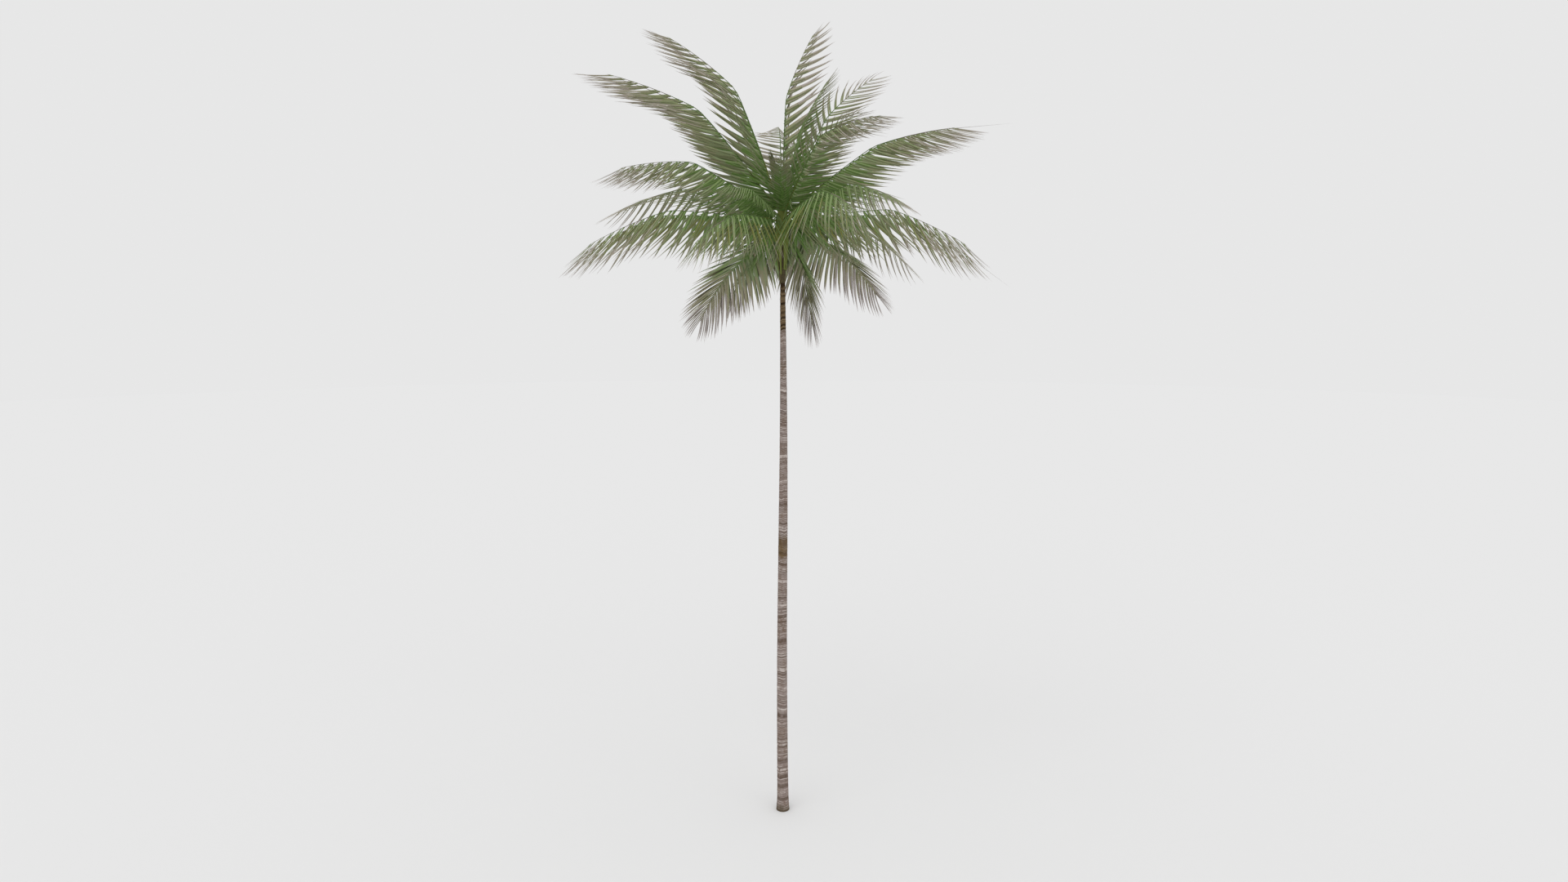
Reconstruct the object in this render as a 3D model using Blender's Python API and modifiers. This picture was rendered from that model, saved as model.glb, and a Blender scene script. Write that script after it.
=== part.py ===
"""A tall, slender feather palm, rooted in level ground.

The trunk tapers from a flared foot to a head of leaf sheaths, and each frond is a keeled rachis
with a row of narrow leaflets down either side. Metres, +Z up, with the origin in the middle of
the flat cut under the trunk.
"""

import math
from collections import namedtuple

import bmesh
import bpy
import numpy as np
from mathutils import Vector
from mathutils.bvhtree import BVHTree

# Every piece stops this far short of the one that it meets.
CLEARANCE = 0.0003

# Trunk
TRUNK_HEIGHT = 12.10
TRUNK_RADIUS = 0.130
TAPER = 0.0044
UPPER_TAPER = 0.0040
UPPER_START = 7.0
FLARE = 0.023
FLARE_HEIGHT = 0.20
SWAY = 0.017
SWAY_START = 0.35
SWAY_END = 11.80
FOOT_LEVELS = (0.0, 0.05, 0.12, 0.22, 0.36)
TRUNK_STEP = 0.58
TRUNK_SIDES = 14

# Head of leaf sheaths on top of the trunk, as height above the ground and radius
HEAD_AXIS_X = -0.010
HEAD_PROFILE = (
    (12.10, 0.066),
    (12.35, 0.080),
    (12.65, 0.108),
    (12.95, 0.126),
    (13.25, 0.134),
    (13.42, 0.126),
    (13.55, 0.104),
    (13.66, 0.072),
    (13.74, 0.036),
    (13.77, 0.0),
)
HEAD_STEPS = 14

# Where the foot of a frond leaves the head: steeper fronds are younger and stand higher.
FOOT_LEVEL = 13.40
FOOT_CLIMB = 0.0050
STEEP_RISE = 30.0
STEEP_CLIMB = 0.0034
FOOT_SUNK = 0.030

# Rachis: a flat top over a keel, straight to its bend and sagging beyond it
INNER_LENGTH = 2.75
OUTER_LENGTH = 2.20
RACHIS_LENGTH = INNER_LENGTH + OUTER_LENGTH
BEND_SHARE = INNER_LENGTH / RACHIS_LENGTH
BEND_SPREAD = 0.10
LEAFLET_SPREAD = 0.40
SPRING = 3.0
OUTER_SAG = 12.0
BEND_SAG = 8.0
RACHIS_STATIONS = (0.0, 0.18, 0.36, 0.50, 0.555, 0.61, 0.74, 0.87, 1.0)
FOOT_WIDTH = 0.040
END_WIDTH = 0.018
RACHIS_DEPTH = 0.80
WHIP_WIDTH = 0.009

# Leaflets, larger and fewer than on the plant: each stands for two
LEAFLETS_A_SIDE = 9
FIRST_LEAFLET = 0.09
LEAFLET_STATIONS = (0.05, 0.20, 0.45, 0.70, 0.88, 1.0)
LEAFLET_LENGTHS = (1.00, 1.25, 1.34, 1.38, 1.20, 0.84)
SWEEP_STATIONS = (0.30, 0.60, 0.75, 0.90, 1.0)
OUTER_SWEEPS = (36.0, 28.0, 18.0, 9.0)
RISES = (5.0, 36.0, 52.0, 70.0, 85.0)
INNER_SWEEPS = (64.0, 46.0, 38.0, 34.0, 48.0)
OUTER_SHARES = (0.95, 0.95, 0.75, 0.70, 1.15)
LEAFLET_WIDTH = 0.088
LEAFLET_THICKNESS = 0.015
BROADEST = 0.42
ROOT_SHARE = 0.45
BOW = 0.06
TIP_SAG = 0.06
CLEAR_GROWTH = 0.004
TRIED_REACHES = (1.0, 0.8, 0.6, 0.4)
TRIED_LIFTS = (0.0, 9.0, -9.0, 18.0, -18.0, 27.0)

UP = Vector((0.0, 0.0, 1.0))

# In degrees: the azimuth from +X, the rise of the inner half, the droop and the turn at the bend,
# the roll about the rachis and how far the blades fold down. The size is a share of the full
# length, and the whip is the bare end beyond the last leaflet, in metres.
Frond = namedtuple("Frond", "azimuth rise droop size turn roll keel whip")
Frond.__new__.__defaults__ = (0.0, 0.0, 58.0, 0.0)

FRONDS = (
    Frond(152.0, 67.4, 29.5, 1.01),
    Frond(169.0, 51.2, 28.4, 1.015),
    Frond(91.5, 43.7, 25.0, 1.00, roll=-14.0, keel=35.0),
    Frond(50.0, 87.6, 28.6, 0.81),
    Frond(47.5, 57.0, 22.0, 0.92, roll=-31.0, keel=20.0),
    Frond(64.0, 45.0, 25.0, 1.00, turn=-21.5, roll=12.0, keel=50.0),
    Frond(22.0, 35.6, 20.5, 0.98, whip=1.50),
    Frond(50.0, 21.0, 25.0, 0.92, roll=10.0, keel=42.0),
    Frond(25.0, 4.9, 27.4, 1.00, whip=1.50),
    Frond(-75.0, 6.0, 21.0, 0.97),
    Frond(46.0, 1.5, 24.0, 0.91, roll=8.0, keel=45.0),
    Frond(62.0, -8.5, 17.6, 1.00, turn=-5.8, roll=16.7, keel=40.7),
    Frond(79.7, -15.0, 26.0, 0.97, roll=5.8, keel=64.0),
    Frond(119.5, -20.5, 7.0, 1.00, turn=-5.0, roll=-26.0, keel=42.0),
    Frond(-109.6, -2.0, 17.0, 0.90),
    Frond(160.3, 4.3, 25.0, 1.01),
    Frond(146.0, 17.5, 26.4, 0.97, roll=-18.0, keel=45.0),
    Frond(148.8, 29.3, 28.2, 0.94),
    Frond(108.0, -10.0, 24.0, 0.88, keel=62.0),
    Frond(-54.5, 47.0, 32.0, 0.63, turn=-4.0, roll=21.4, keel=24.2),
    Frond(-67.0, 36.0, 32.7, 0.80, turn=7.7, roll=-17.5, keel=48.0),
    Frond(-31.0, 31.0, 25.7, 0.86, turn=-8.8, roll=-9.5),
    Frond(-27.1, 3.0, 27.0, 0.85, turn=-7.8, roll=-6.3),
    Frond(-54.8, 12.4, 27.6, 0.81, turn=-8.5, roll=-16.3, keel=41.8),
    Frond(-132.8, 59.9, 36.7, 0.88, turn=2.3, roll=8.2),
    Frond(-160.8, 49.3, 30.0, 0.89, turn=0.7, roll=6.3),
    Frond(-140.8, 22.7, 31.7, 0.85, turn=8.6, roll=8.5),
    Frond(-157.9, 3.0, 26.0, 0.86, turn=6.1, roll=6.3),
    Frond(-116.0, 18.0, 22.0, 0.50, keel=54.0),
    Frond(-120.0, 80.0, 20.0, 0.22),
    Frond(-45.0, 74.0, 24.0, 0.55),
    Frond(-93.0, 45.0, 26.0, 0.34, keel=18.0),
)


def empty_scene():
    for obj in list(bpy.data.objects):
        bpy.data.objects.remove(obj, do_unlink=True)


def new_collection(name):
    collection = bpy.data.collections.new(name)
    bpy.context.scene.collection.children.link(collection)
    return collection


def material(name, colour, roughness):
    """A Principled material; none of these surfaces is a metal."""
    made = bpy.data.materials.new(name)
    made.use_nodes = True
    shader = made.node_tree.nodes["Principled BSDF"]
    shader.inputs["Base Color"].default_value = (*colour, 1.0)
    shader.inputs["Roughness"].default_value = roughness
    shader.inputs["Metallic"].default_value = 0.0
    return made


def add_object(name, mesh, collection, finish=None):
    obj = bpy.data.objects.new(name, mesh)
    collection.objects.link(obj)
    if finish:
        mesh.materials.clear()
        mesh.materials.append(finish)
    return obj


def evaluated_mesh(obj):
    """The object's mesh with its modifiers applied, or the mesh of a curve."""
    bpy.context.view_layer.update()
    graph = bpy.context.evaluated_depsgraph_get()
    return bpy.data.meshes.new_from_object(obj.evaluated_get(graph), depsgraph=graph)


def ease(value):
    """A smooth step from 0 to 1."""
    value = min(max(value, 0.0), 1.0)
    return value * value * (3.0 - 2.0 * value)


def trunk_radius(level):
    upper = UPPER_TAPER * max(level - UPPER_START, 0.0)
    flare = FLARE * math.exp(-level / FLARE_HEIGHT)
    return TRUNK_RADIUS - TAPER * level - upper + flare


def trunk_axis(level):
    """A slight double curve between two upright ends."""
    share = (min(max(level, SWAY_START), SWAY_END) - SWAY_START) / (SWAY_END - SWAY_START)
    return -SWAY * math.sin(2.0 * math.pi * share)


def trunk_levels():
    straight = np.arange(FOOT_LEVELS[-1] + TRUNK_STEP / 2, SWAY_END, TRUNK_STEP)
    return (*FOOT_LEVELS, *straight.tolist(), SWAY_END, TRUNK_HEIGHT)


def build_trunk(collection):
    """A round curve whose points carry the trunk's radius, made a mesh with its caps welded."""
    levels = trunk_levels()
    curve = bpy.data.curves.new("trunk_line", "CURVE")
    curve.dimensions = "3D"
    curve.bevel_depth = 1.0
    curve.bevel_resolution = (TRUNK_SIDES - 4) // 2
    curve.use_fill_caps = True
    line = curve.splines.new("POLY")
    line.points.add(len(levels) - 1)
    for point, level in zip(line.points, levels):
        point.co = (trunk_axis(level), 0.0, level, 1.0)
        point.radius = trunk_radius(level)
    guide = add_object("trunk_line", curve, collection)
    mesh = evaluated_mesh(guide)
    bpy.data.objects.remove(guide, do_unlink=True)
    shape = bmesh.new()
    shape.from_mesh(mesh)
    bmesh.ops.remove_doubles(shape, verts=shape.verts, dist=CLEARANCE / 3)
    shape.to_mesh(mesh)
    shape.free()
    mesh.shade_smooth()
    mesh.set_sharp_from_angle(angle=math.radians(50.0))
    return add_object("trunk", mesh, collection, material("bark", (0.30, 0.25, 0.22), 0.9))


def head_radius(level):
    levels, radii = zip(*HEAD_PROFILE)
    return float(np.interp(level, levels, radii))


def turned_head(name, growth, collection):
    """The head's profile, moved out by growth and turned about its axis."""
    profile = [(radius + growth, level) for level, radius in HEAD_PROFILE if radius > 0]
    top = HEAD_PROFILE[-1][0] + growth
    bottom = profile[0][1] + CLEARANCE - growth
    profile[0] = (profile[0][0], bottom)
    points = [(0.0, top), *reversed(profile), (0.0, bottom)]
    mesh = bpy.data.meshes.new(name)
    shape = bmesh.new()
    verts = [shape.verts.new((radius, 0.0, level)) for radius, level in points]
    for first, second in zip(verts, verts[1:]):
        shape.edges.new((first, second))
    shape.to_mesh(mesh)
    shape.free()
    head = add_object(name, mesh, collection)
    head.location.x = HEAD_AXIS_X
    turn = head.modifiers.new("turn", "SCREW")
    turn.steps = HEAD_STEPS
    turn.render_steps = HEAD_STEPS
    turn.use_merge_vertices = True
    turn.merge_threshold = 0.0001
    return head


def build_head(collection):
    head = turned_head("leaf_sheaths", 0.0, collection)
    head.data.materials.append(material("sheath", (0.30, 0.27, 0.12), 0.8))
    return head


def build_head_cutter(collection):
    """The head with the clearance added all round: it cuts the foot of each frond."""
    cutter = turned_head("head_room", CLEARANCE, collection)
    cutter.hide_render = True
    cutter.display_type = "WIRE"
    return cutter


def foot_of(frond):
    """The point of the head's surface that a frond grows from."""
    level = FOOT_LEVEL + FOOT_CLIMB * min(frond.rise, STEEP_RISE)
    level += STEEP_CLIMB * max(frond.rise - STEEP_RISE, 0.0)
    azimuth = math.radians(frond.azimuth)
    radius = head_radius(level)
    return Vector((HEAD_AXIS_X + radius * math.cos(azimuth), radius * math.sin(azimuth), level))


def heading(frond, share, spread=BEND_SPREAD):
    """Directions along the rachis, across it and up from it, at a share of its length.

    Leaflets take them from a bend that is spread wider.
    """
    bent = ease((share - BEND_SHARE) / spread + 0.5)
    rise = frond.rise + SPRING * (1.0 - 2.0 * min(share / BEND_SHARE, 1.0))
    rise -= (frond.droop - BEND_SAG) * bent
    rise -= OUTER_SAG * max(share - BEND_SHARE, 0.0) / (1.0 - BEND_SHARE)
    rise = math.radians(rise)
    azimuth = math.radians(frond.azimuth + frond.turn * bent)
    level = Vector((math.cos(azimuth), math.sin(azimuth), 0.0))
    along = level * math.cos(rise) + UP * math.sin(rise)
    level_side = level.cross(UP)
    level_upper = level_side.cross(along)
    roll = math.radians(frond.roll)
    side = level_side * math.cos(roll) + level_upper * math.sin(roll)
    return along, side, side.cross(along)


def rachis_line(frond, steps=60):
    """Points at equal steps along the middle of the rachis."""
    step = RACHIS_LENGTH * frond.size / steps
    points = [foot_of(frond)]
    for index in range(steps):
        along = heading(frond, (index + 0.5) / steps)[0]
        points.append(points[-1] + along * step)
    return points


def point_at(line, share):
    place = share * (len(line) - 1)
    index = min(int(place), len(line) - 2)
    return line[index].lerp(line[index + 1], place - index)


def three_sided(centre, across, through, width, depth):
    """A triangle with its broad side across and its edge on the far side."""
    third = through * depth / 3.0
    half = across * width / 2.0
    return (centre - half + third, centre + half + third, centre - third * 2.0)


def loft(name, rings, tip):
    """A closed mesh through three-sided rings, flat at the first and drawn to a point at the tip."""
    shape = bmesh.new()
    rows = [[shape.verts.new(point) for point in ring] for ring in rings]
    shape.faces.new(rows[0])
    for near, far in zip(rows, rows[1:]):
        for index in range(3):
            after = (index + 1) % 3
            shape.faces.new((near[index], near[after], far[after], far[index]))
    end = shape.verts.new(tip)
    for index in range(3):
        shape.faces.new((rows[-1][index], rows[-1][(index + 1) % 3], end))
    bmesh.ops.triangulate(shape, faces=shape.faces)
    bmesh.ops.recalc_face_normals(shape, faces=shape.faces)
    mesh = bpy.data.meshes.new(name)
    shape.to_mesh(mesh)
    shape.free()
    return mesh


def rachis_width(frond, share):
    return (FOOT_WIDTH + (END_WIDTH - FOOT_WIDTH) * share) * frond.size


def rachis_mesh(frond, line):
    rings = []
    for share in RACHIS_STATIONS:
        along, side, upper = heading(frond, share)
        centre = point_at(line, share)
        if share == 0.0:
            centre = centre - along * FOOT_SUNK
        width = rachis_width(frond, share)
        rings.append(three_sided(centre, side, upper, width, width * RACHIS_DEPTH))
    along, side, upper = heading(frond, 1.0)
    tip = line[-1] + along * END_WIDTH
    if frond.whip:
        rings[-1] = three_sided(line[-1], side, upper, WHIP_WIDTH, WHIP_WIDTH)
        tip = line[-1] + along * frond.whip
    return loft("rachis", rings, tip)


def sweep_of(frond, share):
    """The angle between the rachis and a leaflet: less on steep fronds and towards the tip."""
    inner = float(np.interp(frond.rise, RISES, INNER_SWEEPS))
    outer_share = float(np.interp(frond.rise, RISES, OUTER_SHARES))
    sweeps = (inner, *(outer_share * sweep for sweep in OUTER_SWEEPS))
    return float(np.interp(share, SWEEP_STATIONS, sweeps))


def leaflet_mesh(frond, line, share, side_sign, lift, reach, growth=0.0):
    """One leaflet: a sunk root, its broadest ring and its drooping tip."""
    along, side, upper = heading(frond, share, LEAFLET_SPREAD)
    fold = math.radians(frond.keel - lift)
    outward = side * (side_sign * math.cos(fold)) - upper * math.sin(fold)
    sweep = math.radians(sweep_of(frond, share))
    direction = along * math.cos(sweep) + outward * math.sin(sweep)
    across = along * math.sin(sweep) - outward * math.cos(sweep)
    through = direction.cross(across).normalized()
    length = float(np.interp(share, LEAFLET_STATIONS, LEAFLET_LENGTHS)) * frond.size * reach
    width = LEAFLET_WIDTH * math.sqrt(reach) + growth
    thickness = LEAFLET_THICKNESS * length + growth
    root = point_at(line, share)
    broad = root + direction * (length * BROADEST) - across * (length * BOW)
    tip = root + direction * length - UP * (length * TIP_SAG)
    root_width = ROOT_SHARE * rachis_width(frond, share) + growth
    rings = (
        three_sided(root, across, through, root_width, root_width * thickness / width),
        three_sided(broad, across, through, width, thickness),
    )
    return loft("leaflet", rings, tip)


def tree_of(meshes):
    """A search tree over the triangles of some meshes."""
    points = []
    faces = []
    for mesh in meshes:
        first = len(points)
        points.extend(vert.co.copy() for vert in mesh.vertices)
        faces.extend([first + index for index in face.vertices] for face in mesh.polygons)
    return BVHTree.FromPolygons(points, faces)


def clear_leaflet(frond, line, share, side_sign, others):
    """The longest, least tilted leaflet that touches no other frond, or None."""
    for reach in TRIED_REACHES:
        for lift in TRIED_LIFTS:
            full = leaflet_mesh(frond, line, share, side_sign, lift, reach, CLEAR_GROWTH)
            touches = any(tree.overlap(tree_of([full])) for tree in others)
            bpy.data.meshes.remove(full)
            if not touches:
                return leaflet_mesh(frond, line, share, side_sign, lift, reach)
    return None


def grow_leaflets(frond, line, others):
    leaflets = []
    for index in range(LEAFLETS_A_SIDE):
        share = FIRST_LEAFLET + (1.0 - FIRST_LEAFLET) * (index + 0.5) / LEAFLETS_A_SIDE
        for side_sign in (-1.0, 1.0):
            leaflet = clear_leaflet(frond, line, share, side_sign, others)
            if leaflet:
                leaflets.append(leaflet)
    return leaflets


def join_leaflets(rachis, leaflets):
    """One union of the rachis with all of its leaflets, applied."""
    group = new_collection("leaflets")
    for number, mesh in enumerate(leaflets):
        add_object(f"leaflet_{number}", mesh, group)
    union = rachis.modifiers.new("leaflets", "BOOLEAN")
    union.operation = "UNION"
    union.operand_type = "COLLECTION"
    union.collection = group
    union.solver = "MANIFOLD"
    joined = evaluated_mesh(rachis)
    rachis.modifiers.remove(union)
    rachis.data = joined
    for obj in list(group.objects):
        bpy.data.objects.remove(obj, do_unlink=True)
    bpy.data.collections.remove(group)


def cut_foot(frond_object, cutter):
    cut = frond_object.modifiers.new("foot", "BOOLEAN")
    cut.operation = "DIFFERENCE"
    cut.object = cutter
    cut.solver = "MANIFOLD"


def build_fronds(collection, cutter, trunk, head):
    blade = material("blade", (0.13, 0.20, 0.07), 0.6)
    lines = [rachis_line(frond) for frond in FRONDS]
    stems = [rachis_mesh(frond, line) for frond, line in zip(FRONDS, lines)]
    stem_trees = [tree_of([stem]) for stem in stems]
    head_mesh = evaluated_mesh(head)
    head_mesh.transform(head.matrix_world)
    fixed = [tree_of([trunk.data]), tree_of([head_mesh])]
    grown = []
    for number, (frond, line) in enumerate(zip(FRONDS, lines)):
        others = fixed + grown + stem_trees[:number] + stem_trees[number + 1:]
        leaflets = grow_leaflets(frond, line, others)
        grown.append(tree_of(leaflets))
        made = add_object(f"frond_{number + 1:02d}", stems[number], collection)
        join_leaflets(made, leaflets)
        made.data.materials.clear()
        made.data.materials.append(blade)
        cut_foot(made, cutter)


def main():
    empty_scene()
    parts = new_collection("palm_tree")
    cutters = new_collection("cutters")
    trunk = build_trunk(parts)
    head = build_head(parts)
    cutter = build_head_cutter(cutters)
    build_fronds(parts, cutter, trunk, head)


main()
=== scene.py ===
"""Dresses the frame of a tall feather palm: ringed bark, leaf sheaths, rachises and leaflets.

The frame gives the solids at their real size. The crown is grown here by the rule that shaped
those solids, carried to finer leaflets within the same reach. Metres, +Z up, with the origin in
the middle of the flat cut under the trunk.
"""

import math
from collections import namedtuple

import bmesh
import bpy
import numpy as np
from bpy.props import FloatProperty, FloatVectorProperty, IntProperty, PointerProperty
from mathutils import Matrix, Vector, noise


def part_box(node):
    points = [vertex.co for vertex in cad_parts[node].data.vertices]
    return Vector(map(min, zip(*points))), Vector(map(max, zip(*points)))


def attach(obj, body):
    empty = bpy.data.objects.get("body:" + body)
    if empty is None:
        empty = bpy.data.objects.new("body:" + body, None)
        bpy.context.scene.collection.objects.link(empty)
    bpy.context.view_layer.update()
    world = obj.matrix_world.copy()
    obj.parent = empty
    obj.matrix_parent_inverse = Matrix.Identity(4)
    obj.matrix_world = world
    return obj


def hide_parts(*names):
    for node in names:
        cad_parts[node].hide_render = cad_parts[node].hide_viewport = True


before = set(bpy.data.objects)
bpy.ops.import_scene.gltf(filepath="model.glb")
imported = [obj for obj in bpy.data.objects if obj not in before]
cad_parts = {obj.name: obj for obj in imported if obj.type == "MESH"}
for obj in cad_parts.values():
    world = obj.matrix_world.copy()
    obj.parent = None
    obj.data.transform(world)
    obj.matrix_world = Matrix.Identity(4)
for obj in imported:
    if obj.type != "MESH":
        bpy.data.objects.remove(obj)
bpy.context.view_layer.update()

bl_info = {
    "name": "Feather Palm",
    "version": (1, 0, 0),
    "blender": (4, 5, 0),
    "location": "3D View > Sidebar > Palm",
    "description": "Grows a tall feather palm round its frame, with a plain stage to show it on",
    "category": "Add Mesh",
}

BODY = "root"
UP = Vector((0.0, 0.0, 1.0))

# Trunk, as in the solids
TRUNK_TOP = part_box("trunk")[1].z
TRUNK_RADIUS = 0.130
TAPER = 0.0044
UPPER_TAPER = 0.0040
UPPER_START = 7.0
FLARE = 0.023
FLARE_HEIGHT = 0.20
SWAY = 0.017
SWAY_START = 0.35
SWAY_END = 11.80

# Bark, by height above the ground
# The scars that show darkest: height, half height and depth of colour
DARK_SCARS = (
    (12.06, 0.08, 1.0), (11.93, 0.05, 0.85), (11.82, 0.02, 1.0), (11.65, 0.045, 0.95),
    (11.46, 0.05, 0.60), (11.34, 0.022, 1.0), (11.19, 0.030, 0.85), (11.12, 0.020, 0.90),
    (9.27, 0.05, 0.45), (7.52, 0.04, 0.50), (7.24, 0.05, 0.60), (6.80, 0.04, 0.60),
    (6.36, 0.10, 0.50), (5.88, 0.04, 0.65), (4.66, 0.05, 0.55), (4.10, 0.08, 0.65),
    (2.32, 0.09, 0.60), (1.22, 0.10, 0.55), (0.86, 0.07, 0.65), (0.62, 0.08, 0.60),
    (0.30, 0.06, 0.60),
)
# The bleached lips that show palest: height and half height
PALE_LIPS = (
    (10.06, 0.035), (9.78, 0.03), (8.30, 0.04), (6.72, 0.05), (5.76, 0.025), (5.48, 0.03),
    (4.92, 0.04), (3.42, 0.035), (2.98, 0.05), (2.48, 0.03), (1.62, 0.03), (1.02, 0.03),
)
# The ochre stain comes in between the first two heights and fades between the last two.
STAIN = (5.98, 6.12, 6.42, 6.58)
# The moss fades between two heights, and the fresh bark comes in between two.
MOSS = (0.06, 0.26)
YOUNG = (11.09, 11.12)
# The rings begin at a height, end short of the top, and draw closer over a span from a height on.
FIRST_RING = 0.17
TOP_MARGIN = 0.06
CLOSER_START = 8.5
CLOSER_SPAN = 2.5
# The range that chance gives a common ring's half height and depth of colour, and the shares of
# the spacing between two rings and between two fine lines
RING_HALVES = (0.018, 0.045)
RING_DEPTHS = (0.15, 0.55)
RING_CHANCE = (0.72, 1.28)
LINE_CHANCE = (0.65, 1.35)
# The waves and knobs come in over this height from the flat cut up.
CALM_FOOT = 0.15
TRUNK_SIDES = 56
TRUNK_SEED = 11

# Head of leaf sheaths, as height above the ground and radius
HEAD_AXIS_X = -0.010
HEAD_PROFILE = (
    (12.10, 0.066), (12.35, 0.080), (12.65, 0.108), (12.95, 0.126), (13.25, 0.134),
    (13.42, 0.126), (13.55, 0.104), (13.66, 0.072), (13.74, 0.036), (13.77, 0.0),
)

# Foot of each frond on the head
FOOT_LEVEL = 13.40
FOOT_CLIMB = 0.0050
STEEP_RISE = 30.0
STEEP_CLIMB = 0.0034

# Rachis: lengths in metres, the spread of its bend as a share of the length, angles in degrees
INNER_LENGTH = 2.75
OUTER_LENGTH = 2.20
RACHIS_LENGTH = INNER_LENGTH + OUTER_LENGTH
BEND_SHARE = INNER_LENGTH / RACHIS_LENGTH
BEND_SPREAD = 0.10
# The leaflets follow the bend over a wider spread.
LEAFLET_SPREAD = 0.40
SPRING = 3.0
OUTER_SAG = 12.0
BEND_SAG = 8.0

# Leaflets, by their place along the rachis: lengths in metres, and sweeps in degrees
LEAFLET_STATIONS = (0.05, 0.20, 0.45, 0.70, 0.88, 1.0)
LEAFLET_LENGTHS = (1.00, 1.25, 1.34, 1.38, 1.20, 0.84)
SWEEP_STATIONS = (0.30, 0.60, 0.75, 0.90, 1.0)
OUTER_SWEEPS = (36.0, 28.0, 18.0, 9.0)
# By the rise of their frond: the sweep of the inner ones, and a factor for that of the outer ones
RISES = (5.0, 36.0, 52.0, 70.0, 85.0)
INNER_SWEEPS = (64.0, 46.0, 38.0, 34.0, 48.0)
OUTER_SHARES = (0.95, 0.95, 0.75, 0.70, 1.15)

# In degrees: the azimuth from +X, the rise of the inner half, the droop and the turn at the bend,
# the roll about the rachis and how far the blades fold down. The size is a share of the full
# length, and the whip is the bare end beyond the last leaflet, in metres. The age dulls the
# leaflets, and gold is the share of them that has turned. Their order gives the nodes' numbers.
Frond = namedtuple(
    "Frond", "azimuth rise droop size turn roll keel whip age gold",
    defaults=(0.0, 0.0, 58.0, 0.0, 0.0, 0.0),
)

FRONDS = (
    Frond(152.0, 67.4, 29.5, 1.01),
    Frond(169.0, 51.2, 28.4, 1.015),
    Frond(91.5, 43.7, 25.0, 1.00, roll=-14.0, keel=35.0, age=0.4),
    Frond(50.0, 87.6, 28.6, 0.81, age=0.2),
    Frond(47.5, 57.0, 22.0, 0.92, roll=-31.0, keel=20.0),
    Frond(64.0, 45.0, 25.0, 1.00, turn=-21.5, roll=12.0, keel=50.0),
    Frond(22.0, 35.6, 20.5, 0.98, whip=1.50),
    Frond(50.0, 21.0, 25.0, 0.92, roll=10.0, keel=42.0),
    Frond(25.0, 4.9, 27.4, 1.00, whip=1.50, age=0.15, gold=0.2),
    Frond(-75.0, 6.0, 21.0, 0.97, age=-0.3, gold=0.35),
    Frond(46.0, 1.5, 24.0, 0.91, roll=8.0, keel=45.0, age=0.1),
    Frond(62.0, -8.5, 17.6, 1.00, turn=-5.8, roll=16.7, keel=40.7),
    Frond(79.7, -15.0, 26.0, 0.97, roll=5.8, keel=64.0),
    Frond(119.5, -20.5, 7.0, 1.00, turn=-5.0, roll=-26.0, keel=42.0),
    Frond(-109.6, -2.0, 17.0, 0.90, age=-0.2, gold=0.75),
    Frond(160.3, 4.3, 25.0, 1.01, age=0.12),
    Frond(146.0, 17.5, 26.4, 0.97, roll=-18.0, keel=45.0, age=0.1),
    Frond(148.8, 29.3, 28.2, 0.94),
    Frond(108.0, -10.0, 24.0, 0.88, keel=62.0),
    Frond(-54.5, 47.0, 32.0, 0.63, turn=-4.0, roll=21.4, keel=24.2),
    Frond(-67.0, 36.0, 32.7, 0.80, turn=7.7, roll=-17.5, keel=48.0),
    Frond(-31.0, 31.0, 25.7, 0.86, turn=-8.8, roll=-9.5),
    Frond(-27.1, 3.0, 27.0, 0.85, turn=-7.8, roll=-6.3, age=0.1, gold=0.2),
    Frond(-54.8, 12.4, 27.6, 0.81, turn=-8.5, roll=-16.3, keel=41.8, age=-0.2),
    Frond(-132.8, 59.9, 36.7, 0.88, turn=2.3, roll=8.2),
    Frond(-160.8, 49.3, 30.0, 0.89, turn=0.7, roll=6.3),
    Frond(-140.8, 22.7, 31.7, 0.85, turn=8.6, roll=8.5),
    Frond(-157.9, 3.0, 26.0, 0.86, turn=6.1, roll=6.3, gold=0.4),
    Frond(-116.0, 18.0, 22.0, 0.50, keel=54.0, age=-0.4),
    Frond(-120.0, 80.0, 20.0, 0.22, age=-0.5),
    Frond(-45.0, 74.0, 24.0, 0.55, age=-0.5),
    Frond(-93.0, 45.0, 26.0, 0.34, keel=18.0, age=-0.25),
)

# Leaflets are shared out among pieces by the rise of their frond, in degrees.
TIERS = (("lower", -90.0, 5.5), ("middle", 5.5, 36.0), ("upper", 36.0, 90.0))


def linear(red, green, blue):
    """A display colour from 0 to 255 as the linear values that Blender's sockets take."""
    values = []
    for value in (red, green, blue):
        share = value / 255.0
        values.append(share / 12.92 if share <= 0.04045 else ((share + 0.055) / 1.055) ** 2.4)
    return tuple(values)


def colour_property(name, description, display):
    """A colour that the sidebar's user may change, given as it shows, from 0 to 255."""
    return FloatVectorProperty(
        name=name, description=description, default=linear(*display), subtype="COLOR",
        size=3, min=0.0, max=1.0,
    )


def length_property(name, description, default, low, high):
    """A length in metres that the sidebar's user may change, and its range."""
    return FloatProperty(
        name=name, description=description, default=default, min=low, max=high, unit="LENGTH")


# Properties

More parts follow.
